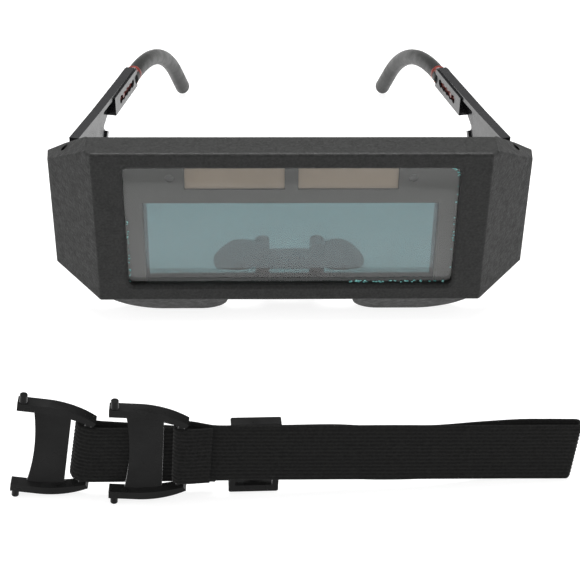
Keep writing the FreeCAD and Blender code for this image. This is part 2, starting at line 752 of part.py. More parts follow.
def hook_spine():
    """The ear hook's centre line: a straight run, a large arc over the ear and a straight tail."""
    start = Vector(72.0, 0, 7.9)
    corner = Vector(103.6, 0, 2.2)
    tip = Vector(136.0, 0, d.hook_rad.value - d.lens_high.value)
    bend = 60.0
    before = (start - corner).normalize()
    after = (tip - corner).normalize()
    half_turn = (math.pi - before.getAngle(after)) / 2
    run = bend * math.tan(half_turn)
    first = corner + before * run
    last = corner + after * run
    middle_way = (before + after).normalize()
    middle = corner + middle_way * (bend / math.cos(half_turn) - bend)
    edges = [Part.LineSegment(start, first).toShape(), Part.Arc(first, middle, last).toShape(),
             Part.LineSegment(last, tip).toShape()]
    return Part.Wire(edges), start, tip, (corner - start).normalize()


def make_ear_hook(side, label):
    """The orange slider with its nub, and the soft hook moulded over the slider's rear end."""
    inner = CHANNEL_W - CHANNEL_HALF
    outer = CHANNEL_W + CHANNEL_HALF
    gap = 0.08
    nub_at = 54.0
    neck_end = 77.0
    slider = Piece(f"hook_slider_{label}")
    slider.pad("XZ", *lateral(side, inner + gap, outer - gap), slide_band(48.5, neck_end, SLIDER_HALF_Z))
    slider.pad("XZ", *lateral(side, inner - 0.6, inner + gap), *slide_dots([nub_at], 0.85))
    collar = slide_band(69.95, 71.4, 2.35)
    slider.pad("XZ", *lateral(side, CHANNEL_W - 1.95, CHANNEL_W + 1.95), collar)
    temple_place(slider.body, side)

    spine, start, tip, heading = hook_spine()
    radius = d.hook_rad.value
    tube = spine.makePipeShell([Part.Wire([Part.Circle(start, heading, radius).toShape()])], True, False)
    low, high = lateral(side, inner + gap, outer - gap)
    shift = -side * CHANNEL_W
    whole = tube.fuse(Part.makeSphere(radius, tip)).removeSplitter()
    whole.translate(Vector(0, shift, 0))
    corners = [(70.0, -1), (neck_end, -1), (neck_end, 1), (70.0, 1)]
    ring = [Vector(along, low, slide_line(along) + sign * SLIDER_HALF_Z) for along, sign in corners]
    socket = Part.Face(Part.makePolygon(ring + ring[:1])).extrude(Vector(0, high - low, 0))
    hook = doc.addObject("Part::Feature", f"ear_hook_{label}")
    hook.Label = f"ear_hook_{label}"
    hook.Shape = whole.cut(socket)
    temple_place(hook, side)


def make_temples():
    for side, label in ((-1, "left"), (1, "right")):
        make_temple_arm(side, label)
        make_ear_hook(side, label)


# ---------------------------------------------------------------- headband
# The headband stands on edge in front of the goggles. It leans on the pegs of its two clip yokes and on its far
# end, so each part of it has its own lean about Y. A yoke's X runs from its pegs to its bar.
FRONT_LEAN = 3.6
REAR_LEAN = 9.0
BACK_LEAN = 2.2
FRONT_PEGS = (-51.0, -81.5)
REAR_PEGS = (-79.0, -78.5)
BAR_ALONG = 17.9
BAR_BACK = 0.9
BAR_RAD = 0.9
EYE_RAD = 1.65
STRAP_SLOPE = 0.064
STRAP_START = (27.5, 1.35)
FAR_END = 127.8
FOLD_RAD = 1.25
SLIDER_AT = 38.5
SLIDER_SPACING = 2.35
SLIDER_HALF_LONG = 7.0


def leaning_frame(foot, lean):
    """Middle of a clip that stands on its lower peg at foot, and its turn."""
    angle = math.radians(lean)
    reach = number(d.clip_half + d.peg_long)
    height = reach * math.cos(angle) + d.peg_rad.value * math.sin(angle)
    middle = Vector(foot[0] + reach * math.sin(angle), foot[1], height)
    return middle, Rotation(Vector(0, 1, 0), lean)


def make_yoke(label, foot, lean):
    yoke = Piece(f"yoke_{label}")
    plate = [(2.8, -14.0), (13.2, -13.2), (13.2, 13.2), (2.8, 14.0), (4.0, 0.0, "bend")]
    yoke.pad("XZ", 0.8, 2.0, outline(*plate))
    lug_in = d.clip_half - 2.5
    for side in (-1, 1):
        rib = [(-1.5, lug_in * side), (7.0, lug_in * side), (13.4, 12.75 * side, "bend"), (19.2, 10.9 * side),
               (20.0, 12.2 * side), (13.8, 15.14 * side, "bend"), (7.0, d.clip_half * side),
               (-1.5, d.clip_half * side)]
        yoke.pad("XZ", -1.3, 2.0, outline(*rib))
    yoke.pad("XY", -11.8, 11.8, circle(BAR_ALONG, BAR_BACK, BAR_RAD))
    for start, stop in ((d.clip_half, d.clip_half + d.peg_long), (-d.clip_half - d.peg_long, -d.clip_half)):
        yoke.pad("XY", start, stop, circle(0.0, 0.0, d.peg_rad))
    middle, turn = leaning_frame(foot, lean)
    keep(yoke.body, middle.x, middle.y, middle.z - d.lens_high, turn)


def strip(points):
    """An upright strip of band over the points of a plan route, as one solid."""
    half = d.band_thick.value / 2
    tall = d.band_wide.value
    solids = []
    for start, end in zip(points, points[1:]):
        start, end = Vector(*start, 0), Vector(*end, 0)
        along = (end - start).normalize()
        out = Vector(-along.y, along.x, 0) * half
        corners = [start + out, end + out, end - out, start - out]
        face = Part.Face(Part.makePolygon(corners + corners[:1]))
        solids.append(face.extrude(Vector(0, 0, tall)))
    for x, y in points[1:-1]:
        solids.append(Part.makeCylinder(half, tall, Vector(x, y, 0)))
    return solids


def half_ring(x, y, radius, opening):
    """A band bent through half a turn about (x, y). It opens towards +X if opening is 1, and -X if it is -1."""
    half = d.band_thick.value / 2
    tall = d.band_wide.value
    ring = Part.makeCylinder(radius + half, tall, Vector(x, y, 0))
    ring = ring.cut(Part.makeCylinder(radius - half, tall, Vector(x, y, 0)))
    reach = 2 * radius + 2 * half
    corner = Vector(x - reach if opening > 0 else x, y - reach / 2, 0)
    return ring.common(Part.makeBox(reach, reach, tall, corner))


def strap_line(along, gap=0.0):
    """The plan point of the front layer at a distance along it, or of the back layer gap behind it."""
    start_x, start_y = STRAP_START
    return (along, start_y + STRAP_SLOPE * (along - start_x) + gap)


def back_frame():
    """Place and turn of the back layer, which sinks from the far fold towards the rear clip."""
    fold = Vector(*strap_line(FAR_END), 0)
    droop = Rotation(Vector(0, 1, 0), BACK_LEAN)
    return Placement(*leaning_frame(FRONT_PEGS, FRONT_LEAN)).multVec(fold) - droop.multVec(fold), droop


def set_upright(solids, middle, turn):
    """Fuses strips and moves them, centred on their height, into a leaning frame."""
    shape = solids[0].fuse(solids[1:])
    shape.translate(Vector(0, 0, -d.band_wide.value / 2))
    shape.Placement = Placement(middle, turn).multiply(shape.Placement)
    return shape


def make_band():
    """One length of elastic: sewn round the front yoke's bar, folded at its far end, back to the rear yoke."""
    bar_front, bar_rear = BAR_BACK - EYE_RAD, BAR_BACK + EYE_RAD
    middle, turn = leaning_frame(FRONT_PEGS, FRONT_LEAN)
    flap = [(26.5, 0.15), (20.5, bar_front), (BAR_ALONG, bar_front)]
    fold_low = strap_line(FAR_END)
    fold_high = (FAR_END, fold_low[1] + 2 * FOLD_RAD)
    front_layer = [(BAR_ALONG, bar_rear), (20.5, bar_rear), STRAP_START, fold_low]
    back_layer = [strap_line(FAR_END - 0.7, 2.62), strap_line(112.0, 2.9), strap_line(88.0, 1.1),
                  strap_line(73.0, 1.2), strap_line(61.0, SLIDER_SPACING), strap_line(27.6, SLIDER_SPACING)]
    loop = strip(flap) + strip(front_layer) + strip([fold_high, strap_line(FAR_END - 1.6, 2 * FOLD_RAD)])
    loop.append(half_ring(BAR_ALONG, BAR_BACK, EYE_RAD, 1))
    loop.append(half_ring(FAR_END, fold_low[1] + FOLD_RAD, FOLD_RAD, -1))
    front = set_upright(loop, middle, turn)
    back_middle, back_turn = back_frame()
    back = set_upright(strip(back_layer), back_middle, back_turn)

    rear_middle, rear_turn = leaning_frame(REAR_PEGS, REAR_LEAN)
    eye = [half_ring(BAR_ALONG, BAR_BACK, EYE_RAD, 1)]
    eye += strip([(BAR_ALONG, bar_front), (21.5, bar_front)])
    eye += strip([(BAR_ALONG, bar_rear), (21.5, bar_rear - 0.1)])
    rear = set_upright(eye, rear_middle, rear_turn)

    # the stretch between the rear yoke and the slider: the running layer, and the sewn-back tail behind it
    join = Placement(rear_middle, rear_turn).multVec(Vector(21.2, 0, 0))
    seam = Placement(back_middle, back_turn).multVec(Vector(*strap_line(28.0, SLIDER_SPACING), 0))
    rise = math.degrees(math.atan2(seam.z - join.z, seam.x - join.x))
    long = (seam - join).Length
    seam_y = seam.y - join.y
    running = [(0.0, bar_front + 0.05), (6.0, 0.32), (long, seam_y)]
    tail = [(0.0, bar_rear - 0.1), (6.0, 1.42), (long - 0.3, seam_y + 1.1)]
    level = set_upright(strip(running) + strip(tail), join, Rotation(Vector(0, 1, 0), -rise))

    band = doc.addObject("Part::Feature", "elastic_band")
    band.Label = "elastic_band"
    band.Shape = front.fuse([back, rear, level])
    keep(band, 0.0, 0.0, -d.lens_high)


def make_band_slider():
    """The tri-glide: its end bars pass in front of the back layer and its centre bar behind it."""
    rail = d.band_wide / 2 + 0.15
    slack = 0.5
    rails = [(rail, 12.0), (-13.4, -rail - slack)]
    near = d.band_thick / 2 + 0.1
    far = near + 0.9
    glide = Piece("band_slider")
    bar_low = -rail - slack - 0.2
    for side, (low, high) in zip((-1, 1), rails):
        glide.pad("XZ", -far, far, rounded(-SLIDER_HALF_LONG, SLIDER_HALF_LONG, low, high, 0.6))
        end_bar = across(side, SLIDER_HALF_LONG - 1.8, SLIDER_HALF_LONG)
        glide.pad("XZ", -far, -near, box_outline(*end_bar, bar_low, rail + 0.2))
    glide.pad("XZ", near, far, box_outline(-1.1, 1.1, bar_low, rail + 0.2))
    middle, turn = back_frame()
    heading = Rotation(Vector(0, 0, 1), math.degrees(math.atan(STRAP_SLOPE)))
    centre = Placement(middle, turn).multVec(Vector(*strap_line(SLIDER_AT, SLIDER_SPACING), 0))
    keep(glide.body, centre.x, centre.y, centre.z - d.lens_high, turn.multiply(heading))


def make_headband():
    make_yoke("left", REAR_PEGS, REAR_LEAN)
    make_yoke("right", FRONT_PEGS, FRONT_LEAN)
    make_band()
    make_band_slider()


make_front_frame()
make_cartridge()
make_retainer()
make_nose_piece()
make_temples()
make_headband()


# ---------------------------------------------------------------- checks and export
def export():
    doc.recompute()
    for thing in doc.Objects:
        if "Invalid" in thing.State or "Error" in thing.State:
            raise RuntimeError(f"{thing.Name} failed: {thing.State}")
    os.makedirs("parts", exist_ok=True)
    for thing in finished:
        shape = thing.Shape
        if shape.isNull() or not shape.isValid():
            raise RuntimeError(f"{thing.Label} has no valid shape")
        shape.exportStep(f"parts/{thing.Label}.step")
        print(thing.Label, len(shape.Solids), round(shape.Volume, 1))
    whole = finished[0].Shape.BoundBox
    for thing in finished[1:]:
        whole.add(thing.Shape.BoundBox)
    print("whole", whole)


export()
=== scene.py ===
"""Looks of the welding goggles: materials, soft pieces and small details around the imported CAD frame.

Blender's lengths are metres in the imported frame: X to the right across the lens, Y back towards the face and
Z up from the table. Named sizes are millimetres, multiplied by MM where they are used.
"""

import json
import math
import random

import bpy
import bmesh
from mathutils import Matrix, Vector


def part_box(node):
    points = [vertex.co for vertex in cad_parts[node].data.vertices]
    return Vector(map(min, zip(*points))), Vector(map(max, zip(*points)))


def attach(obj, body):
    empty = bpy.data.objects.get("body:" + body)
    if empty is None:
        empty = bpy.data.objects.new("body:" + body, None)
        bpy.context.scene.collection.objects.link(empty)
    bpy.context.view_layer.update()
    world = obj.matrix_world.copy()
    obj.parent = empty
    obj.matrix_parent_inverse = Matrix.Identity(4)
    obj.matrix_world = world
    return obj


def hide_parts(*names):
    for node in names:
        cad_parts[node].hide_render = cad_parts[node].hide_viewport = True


MM = 0.001

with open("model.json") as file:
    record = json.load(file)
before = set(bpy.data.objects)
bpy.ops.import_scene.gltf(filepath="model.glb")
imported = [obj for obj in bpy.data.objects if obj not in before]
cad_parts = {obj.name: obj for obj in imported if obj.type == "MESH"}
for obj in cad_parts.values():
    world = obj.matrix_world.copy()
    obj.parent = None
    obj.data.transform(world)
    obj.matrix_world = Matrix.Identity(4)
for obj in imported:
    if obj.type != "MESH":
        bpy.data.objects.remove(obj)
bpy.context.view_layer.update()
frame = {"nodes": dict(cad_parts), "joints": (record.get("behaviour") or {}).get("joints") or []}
joints = {joint["name"]: joint for joint in frame["joints"]}


def lens_middle():
    """Middle of the cover lens on the front rim plane."""
    rim_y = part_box("front_frame")[0].y
    low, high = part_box("cover_lens")
    return Vector(((low.x + high.x) / 2, rim_y, (low.z + high.z) / 2))


LENS = lens_middle()
HEADBAND_PARTS = ("yoke_left", "yoke_right", "band_slider")
# The slider's middle on a temple: its distance from the hinge and its height over it.
SLIDE_AT = 57.0
SLIDE_HIGH = 9.5
# Painted highlights on the slider's nub and collar: distances from the hinge, and how far each painted
# highlight reaches.
NUB_AT = 54.0
NUB_HIGHLIGHT_REACH = 3.8
COLLAR_AT = 71.0
COLLAR_HIGHLIGHT_REACH = 6.6


# ---------------------------------------------------------------- camera
def make_camera():
    """A short telephoto, looking down at the front of the lens from the photograph's angle."""
    distance = 490 * MM
    elevation = math.radians(37.0)
    yaw = math.radians(-1.66)
    roll = math.radians(0.83)
    aim = LENS + Vector((-0.1, 0.0, -23.3)) * MM
    level_reach = math.cos(elevation)
    back = Vector((math.sin(yaw) * level_reach, -math.cos(yaw) * level_reach, math.sin(elevation)))
    level_right = (-back).cross(Vector((0, 0, 1))).normalized()
    level_up = level_right.cross(-back)
    right = level_right * math.cos(roll) + level_up * math.sin(roll)
    up = level_up * math.cos(roll) - level_right * math.sin(roll)
    data = bpy.data.cameras.new("camera")
    data.sensor_width = 36.0
    data.lens = 95.4
    data.clip_start = 0.01
    camera = bpy.data.objects.new("camera", data)
    turn = Matrix((right, up, back)).transposed().to_4x4()
    camera.matrix_world = Matrix.Translation(aim + back * distance) @ turn
    bpy.context.scene.collection.objects.link(camera)
    bpy.context.scene.camera = camera


# ---------------------------------------------------------------- lights and floor
def area_light(name, place, aim, size, power):
    """A rectangular light of a size in metres, turned towards its aim."""
    data = bpy.data.lights.new(name, "AREA")
    data.shape = "RECTANGLE"
    data.size, data.size_y = size
    data.energy = power
    light = bpy.data.objects.new(name, data)
    light.location = place
    light.rotation_euler = (Vector(aim) - Vector(place)).to_track_quat("-Z", "Y").to_euler()
    bpy.context.scene.collection.objects.link(light)


def make_studio():
    """A white sweep lit by a wide overhead softbox, two side panels and an even white surround."""
    world = bpy.data.worlds.new("surround")
    world.use_nodes = True
    background = world.node_tree.nodes["Background"]
    background.inputs["Color"].default_value = (1.0, 1.0, 1.0, 1.0)
    background.inputs["Strength"].default_value = 0.28
    bpy.context.scene.world = world
    bpy.context.scene.view_settings.view_transform = "Standard"
    area_light("overhead", (0.0, 0.15, 0.9), (0, 0, 0.02), (0.7, 0.5), 14.5)
    area_light("left_panel", (-0.8, -0.3, 0.5), (0, 0, 0.03), (0.5, 0.7), 3.2)
    area_light("right_panel", (0.8, -0.3, 0.5), (0, 0, 0.03), (0.5, 0.7), 3.2)

    floor_mesh = bpy.data.meshes.new("floor")
    reach = 3.0
    corners = [(-reach, -reach, 0.0), (reach, -reach, 0.0), (reach, reach, 0.0), (-reach, reach, 0.0)]
    floor_mesh.from_pydata(corners, [], [(0, 1, 2, 3)])
    floor = bpy.data.objects.new("floor", floor_mesh)
    bpy.context.scene.collection.objects.link(floor)
    white = bpy.data.materials.new("floor_white")
    white.use_nodes = True
    shader = white.node_tree.nodes["Principled BSDF"]
    shader.inputs["Base Color"].default_value = (0.3, 0.3, 0.3, 1.0)
    shader.inputs["Roughness"].default_value = 0.8
    shader.inputs["Specular IOR Level"].default_value = 0.0
    shader.inputs["Emission Color"].default_value = (1.0, 1.0, 1.0, 1.0)
    shader.inputs["Emission Strength"].default_value = 0.85
    floor_mesh.materials.append(white)


# ---------------------------------------------------------------- materials
class Skin:
    """A material built on one Principled shader, with helpers for what varies over the surface."""

    def __init__(self, name, colour, roughness, specular=0.5):
        self.material = bpy.data.materials.new(name)
        self.material.use_nodes = True
        self.tree = self.material.node_tree
        self.shader = self.tree.nodes["Principled BSDF"]
        self.shader.inputs["Base Color"].default_value = (*colour, 1.0)
        self.shader.inputs["Roughness"].default_value = roughness
        self.shader.inputs["Specular IOR Level"].default_value = specular
        self.place = None

    def node(self, kind, **settings):
        node = self.tree.nodes.new(kind)
        for key, value in settings.items():
            setattr(node, key, value)
        return node

    def link(self, source, target):
        self.tree.links.new(source, target)

    def where(self):
        if self.place is None:
            self.place = self.node("ShaderNodeTexCoord").outputs["Object"]
        return self.place

    def noise(self, scale, detail=3.0):
        """Noise over the object's own coordinates, with its scale in cycles per metre."""
        noise = self.node("ShaderNodeTexNoise")
        noise.inputs["Scale"].default_value = scale
        noise.inputs["Detail"].default_value = detail
        self.link(self.where(), noise.inputs["Vector"])
        return noise.outputs["Fac"]

    def ramp(self, source, low, high, start=0.3, end=0.7):
        """Turns a factor into a colour between two."""
        ramp = self.node("ShaderNodeValToRGB")
        ramp.color_ramp.elements[0].position = start
        ramp.color_ramp.elements[1].position = end
        ramp.color_ramp.elements[0].color = (*low, 1.0)
        ramp.color_ramp.elements[1].color = (*high, 1.0)
        self.link(source, ramp.inputs["Fac"])
        return ramp.outputs["Color"]

    def spread(self, source, low, high):
        """Turns a factor into a number between two."""
        spread = self.node("ShaderNodeMapRange")
        spread.inputs["From Min"].default_value = 0.3
        spread.inputs["From Max"].default_value = 0.7
        spread.inputs["To Min"].default_value = low
        spread.inputs["To Max"].default_value = high
        self.link(source, spread.inputs["Value"])
        return spread.outputs["Result"]

    def mottle(self, low, high, scale, detail=4.0):
        self.link(self.ramp(self.noise(scale, detail), low, high), self.shader.inputs["Base Color"])

    def polish(self, low, high, scale):
        self.link(self.spread(self.noise(scale), low, high), self.shader.inputs["Roughness"])

    def bumps(self, height, depth):
        """Adds relief of a depth in metres."""
        bump = self.node("ShaderNodeBump")
        bump.inputs["Strength"].default_value = 1.0
        bump.inputs["Distance"].default_value = depth
        self.link(height, bump.inputs["Height"])
        self.link(bump.outputs["Normal"], self.shader.inputs["Normal"])


def moulded_black():
    """Spark-eroded matte black moulding of the front frame."""
    skin = Skin("moulded_black", (0.018, 0.018, 0.018), 0.52, 0.22)
    skin.mottle((0.012, 0.0122, 0.0118), (0.023, 0.0233, 0.0228), 1300.0, 2.0)
    skin.polish(0.44, 0.62, 500.0)
    skin.bumps(skin.noise(1300.0, 3.0), 0.00014)
    return skin.material


def polished_black():
    """Glossy black moulding of the temples and sensors, with faint handling marks."""
    skin = Skin("polished_black", (0.013, 0.013, 0.014), 0.2)
    skin.polish(0.14, 0.3, 220.0)
    skin.bumps(skin.noise(340.0, 2.0), 0.00003)
    return skin.material


def clip_black():
    """Satin black moulding of the headband's clips and slider, with soft flow marks."""
    skin = Skin("clip_black", (0.006, 0.006, 0.006), 0.3, 0.1)
    skin.mottle((0.004, 0.004, 0.004), (0.008, 0.008, 0.008), 120.0)
    skin.polish(0.22, 0.4, 160.0)
    skin.bumps(skin.noise(240.0, 2.0), 0.00008)
    return skin.material


def case_grey():
    """Fine-grained grey moulding of the filter cartridge's case."""
    skin = Skin("case_grey", (0.042, 0.043, 0.041), 0.5, 0.2)
    skin.mottle((0.039, 0.04, 0.038), (0.045, 0.046, 0.044), 300.0)
    skin.bumps(skin.noise(2200.0, 2.0), 0.00003)
    return skin.material


def solar_cell():
    """Tan-brown cell with a faint mottle."""
    skin = Skin("solar_cell", (0.266, 0.213, 0.163), 0.35, 0.2)
    skin.mottle((0.254, 0.204, 0.156), (0.279, 0.224, 0.171), 420.0)
    return skin.material


def clear_pane(name, tint, shine, mirror_tint=(1.0, 1.0, 1.0), mirror=0.1):
    """A clear sheet that lets everything through and mirrors more the flatter it is looked along."""
    material = bpy.data.materials.new(name)
    material.use_nodes = True
    tree = material.node_tree
    tree.nodes.remove(tree.nodes["Principled BSDF"])
    through = tree.nodes.new("ShaderNodeBsdfTransparent")
    through.inputs["Color"].default_value = (*tint, 1.0)
    gloss = tree.nodes.new("ShaderNodeBsdfGlossy")
    gloss.inputs["Color"].default_value = (*mirror_tint, 1.0)
    gloss.inputs["Roughness"].default_value = shine
    edge = tree.nodes.new("ShaderNodeLayerWeight")
    edge.inputs["Blend"].default_value = mirror
    mix = tree.nodes.new("ShaderNodeMixShader")
    tree.links.new(edge.outputs["Facing"], mix.inputs["Fac"])
    tree.links.new(through.outputs["BSDF"], mix.inputs[1])
    tree.links.new(gloss.outputs["BSDF"], mix.inputs[2])
    tree.links.new(mix.outputs["Shader"], tree.nodes["Material Output"].inputs["Surface"])
    return material


def circuit_green():
    """Green solder mask of the circuit board."""
    skin = Skin("circuit_green", (0.015, 0.09, 0.035), 0.4)
    skin.mottle((0.012, 0.08, 0.03), (0.03, 0.13, 0.05), 900.0)
    return skin.material


def bare_steel():
    """Brushed steel of the screws and the backup cell."""
    skin = Skin("bare_steel", (0.55, 0.55, 0.54), 0.32)
    skin.shader.inputs["Metallic"].default_value = 1.0
    skin.polish(0.25, 0.42, 900.0)
    return skin.material


def orange_painted_light(label, painted_highlight_spots):
    """Orange slider with painted highlights at its nub and collar, and painted shade in dark red where the
    grooves shade it.
    """
    skin = Skin(f"orange_painted_light_{label}", (0.75, 0.17, 0.06), 0.3)
    nearest = None
    for spot, reach in painted_highlight_spots:
        distance = skin.node("ShaderNodeVectorMath", operation="DISTANCE")
        distance.inputs[1].default_value = spot
        skin.link(skin.where(), distance.inputs[0])
        share = skin.node("ShaderNodeMath", operation="DIVIDE")
        share.inputs[1].default_value = reach
        skin.link(distance.outputs["Value"], share.inputs[0])
        if nearest is None:
            nearest = share.outputs["Value"]
        else:
            closer = skin.node("ShaderNodeMath", operation="MINIMUM")
            skin.link(nearest, closer.inputs[0])
            skin.link(share.outputs["Value"], closer.inputs[1])
            nearest = closer.outputs["Value"]
    # Painted light: bright orange within reach of a painted highlight spot, painted shade in dark red beyond
    # it.
    colour = skin.ramp(nearest, (0.9, 0.27, 0.12), (0.13, 0.016, 0.01), 0.75, 1.0)
    skin.link(colour, skin.shader.inputs["Base Color"])
    return skin.material


def slider_material(label):
    """Painted highlights at the nub in the second groove and round the collar, found from the temple's joints.
    """
    hinge = Vector(joints[f"temple_{label}_fold"]["pos_m"])
    slide = Vector(joints[f"hook_{label}_slide"]["axis"])
    ahead = slide / Vector((slide.x, slide.y)).length
    middle = hinge + ahead * SLIDE_AT * MM + Vector((0, 0, SLIDE_HIGH * MM))
    nub = middle + ahead * (NUB_AT - SLIDE_AT) * MM
    collar = middle + ahead * (COLLAR_AT - SLIDE_AT) * MM
    return orange_painted_light(label, [(nub, NUB_HIGHLIGHT_REACH * MM), (collar, COLLAR_HIGHLIGHT_REACH * MM)])


def soft_grey():
    """Soft-touch grey rubber of the ear hooks."""
    skin = Skin("soft_grey", (0.018, 0.0187, 0.0176), 0.42, 0.26)
    skin.mottle((0.0155, 0.016, 0.015), (0.0205, 0.0213, 0.02), 200.0)
    skin.polish(0.36, 0.5, 260.0)
    skin.bumps(skin.noise(1800.0, 2.0), 0.00004)
    return skin.material


def soft_black():
    """Soft black rubber of the nose piece."""
    skin = Skin("soft_black", (0.03, 0.03, 0.032), 0.45)
    skin.mottle((0.027, 0.027, 0.029), (0.036, 0.036, 0.038), 400.0)
    skin.bumps(skin.noise(1500.0, 2.0), 0.00004)
    return skin.material


def woven_black():
    """Black elastic: the relief of its cords is in the mesh, and the fine weave is here."""
    skin = Skin("woven_black", (0.009, 0.009, 0.009), 0.8, 0.08)
    skin.mottle((0.006, 0.006, 0.006), (0.013, 0.013, 0.0125), 1500.0)
    skin.bumps(skin.noise(5000.0, 2.0), 0.00005)
    return skin.material


def dress_frame():
    """Gives every CAD node its material."""
    glossy = polished_black()
    clip = clip_black()
    grey = case_grey()
    black = moulded_black()
    steel = bare_steel()
    clear = clear_pane("clear_cover", (0.98, 0.985, 0.98), 0.03)
    filter_glass = clear_pane("filter_glass", (0.345, 0.45, 0.463), 0.02, (0.54, 0.74, 0.82), 0.19)
    cell = solar_cell()
    rubber = soft_grey()
    nose = soft_black()
    looks = {
        "front_frame": black,
        "cartridge_retainer": black,
        "cover_lens": clear,
        "inner_cover_lens": clear,
        "filter_case_front": grey,
        "filter_case_rear": grey,
        "uv_ir_filter_glass": filter_glass,
        "lcd_shutter": clear_pane("shutter_glass", (0.5, 0.56, 0.57), 0.05, (0.6, 0.9, 1.0), 0.022),
        "solar_cell_left": cell,
        "solar_cell_right": cell,
        "light_sensor_left": glossy,
        "light_sensor_right": glossy,
        "circuit_board": circuit_green(),
        "backup_cell": steel,
        "retainer_screws": steel,
        "nose_bridge": nose,
        "nose_pad_left": nose,
        "nose_pad_right": nose,
        "temple_arm_left": glossy,
        "temple_arm_right": glossy,
        "hook_slider_left": slider_material("left"),
        "hook_slider_right": slider_material("right"),
        "ear_hook_left": rubber,
        "ear_hook_right": rubber,
        "yoke_left": clip,
        "yoke_right": clip,
        "elastic_band": woven_black(),
        "band_slider": clip,
    }
    for name, material in looks.items():
        mesh = frame["nodes"][name].data
        mesh.materials.clear()
        mesh.materials.append(material)


# ---------------------------------------------------------------- elastic band
class Stand:
    """A leaning frame: along the band, back from it and up it, from the middle of a clip's bar."""

    def __init__(self, bar, up):
        self.bar = bar
        self.up = up.normalized()
        self.along = Vector((self.up.z, 0.0, -self.up.x))

    def at(self, along, back, up=0.0):
        return self.bar + (self.along * along + Vector((0, 1, 0)) * back + self.up * up) * MM


def clip_stand(joint):
    """The frame on a clip's bar, which is where the clip swings."""
    return Stand(Vector(joints[joint]["pos_m"]), Vector(joints[joint]["axis"]))


def back_stand():
    """The back layer's frame: it sinks from the far fold along the line that the slider runs on."""
    run = Vector(joints["band_slider_slide"]["axis"])
    stand = Stand(FRONT.bar, Vector((-run.z, 0.0, run.x)))
    stand.bar = FRONT.at(FAR_END, 0.0) - stand.along * FAR_END * MM
    return stand


# Distance from the front clip's bar to the far fold.
FAR_END = 109.9
FRONT = clip_stand("yoke_right_swing")
REAR = clip_stand("yoke_left_swing")
BACK = back_stand()
# The band's half width and thickness, the height of its ribs and the spacing of its rings.
BAND_HALF = 10.3
BAND_THICK = 0.9
RIB_HIGH = 0.18
BAND_STEP = 0.7
# The front layer's line: where it starts and how far back it is there, and its slope.
STRAP_START = 9.6
STRAP_BACK = 0.45
STRAP_SLOPE = 0.064


def front_line(along, gap=0.0):
    """How far back the front layer is at a distance along it, or how far back a point a gap behind it is."""
    return STRAP_BACK + STRAP_SLOPE * (along - STRAP_START) + gap


def turn_round(stand, along, back, radius_along, radius_back, start, stop, steps):
    """Stations on an elliptical turn, by angles in degrees from the along direction towards the back."""
    stations = []
    for i in range(steps + 1):
        angle = math.radians(start + (stop - start) * i / steps)
        place = stand.at(along + radius_along * math.cos(angle), back + radius_back * math.sin(angle))
        stations.append((place, stand.up))
    return stations


def straight(stand, points):
    """Stations at points (along, back) of one stand."""
    return [(stand.at(along, back), stand.up) for along, back in points]


def band_stations():
    """Centre points and upright directions along the whole strap, from the sewn flap to the loose tail."""
    stations = straight(FRONT, [(8.5, -0.7), (5.6, -1.15), (2.6, -1.6)])
    stations += turn_round(FRONT, 0.0, 0.0, 1.7, 1.65, 270.0, 90.0, 12)
    stations += straight(FRONT, [(3.0, 1.6), (6.2, 0.95), (9.6, 0.45)])
    front_run = (16.0, 30.0, 45.0, 60.0, 75.0, 90.0, 102.0)
    stations += straight(FRONT, [(along, front_line(along)) for along in front_run])
    fold_back = front_line(FAR_END, 1.25)
    stations += turn_round(FRONT, FAR_END, fold_back, 1.35, 1.25, 270.0, 450.0, 12)
    gaps = [(102.0, 2.8), (94.0, 2.9), (82.0, 2.1), (70.0, 1.15), (55.0, 1.2), (43.0, 2.2), (30.0, 2.35),
            (20.0, 2.35), (12.0, 2.3)]
    stations += straight(BACK, [(along, front_line(along, gap)) for along, gap in gaps])
    start, stop = BACK.at(10.0, front_line(10.0, 2.3)), REAR.at(3.3, -1.5)
    for share in (0.25, 0.5, 0.75):
        stations.append((start.lerp(stop, share), BACK.up.lerp(REAR.up, share).normalized()))
    rear_eye = [(3.0, -1.5), (1.2, -1.62), (-0.6, -1.45), (-2.1, -0.8), (-2.8, 0.3), (-3.15, 1.3),
                (-3.1, 2.0), (-2.7, 2.5), (-1.8, 2.5), (-0.6, 2.1), (1.2, 1.7), (3.2, 1.5)]
    stations += straight(REAR, rear_eye)
    start, stop = REAR.at(3.3, 1.5), BACK.at(10.5, front_line(10.5, 3.6), -2.0)
    for share in (0.15, 0.4, 0.7, 1.0):
        stations.append((start.lerp(stop, share), BACK.up.lerp(REAR.up, 1.0 - share).normalized()))
    return stations


def curve_weights(t):
    """Weights of four points in a row on a Catmull-Rom curve, at a share t between the middle two."""
    return ((-t + 2 * t * t - t ** 3) / 2, (2 - 5 * t * t + 3 * t ** 3) / 2,
            (t + 4 * t * t - 3 * t ** 3) / 2, (t ** 3 - t * t) / 2)


def smooth_route(stations, spacing):
    """A Catmull-Rom curve through the stations, walked at an even spacing."""
    fine = []
    last = len(stations) - 1
    for i in range(last):
        before, start, stop, after = (stations[min(max(i + k, 0), last)] for k in (-1, 0, 1, 2))
        steps = max(2, int((stop[0] - start[0]).length / (0.25 * MM)))
        for step in range(steps):
            t = step / steps
            four = (before, start, stop, after)
            place = sum((w * s[0] for w, s in zip(curve_weights(t), four)), Vector())
            fine.append((place, start[1].lerp(stop[1], t).normalized()))
    fine.append(stations[-1])
    walked = [fine[0]]
    reach = 0.0
    for earlier, later in zip(fine, fine[1:]):
        reach += (later[0] - earlier[0]).length
        if reach >= spacing:
            walked.append(later)
            reach = 0.0
    return walked


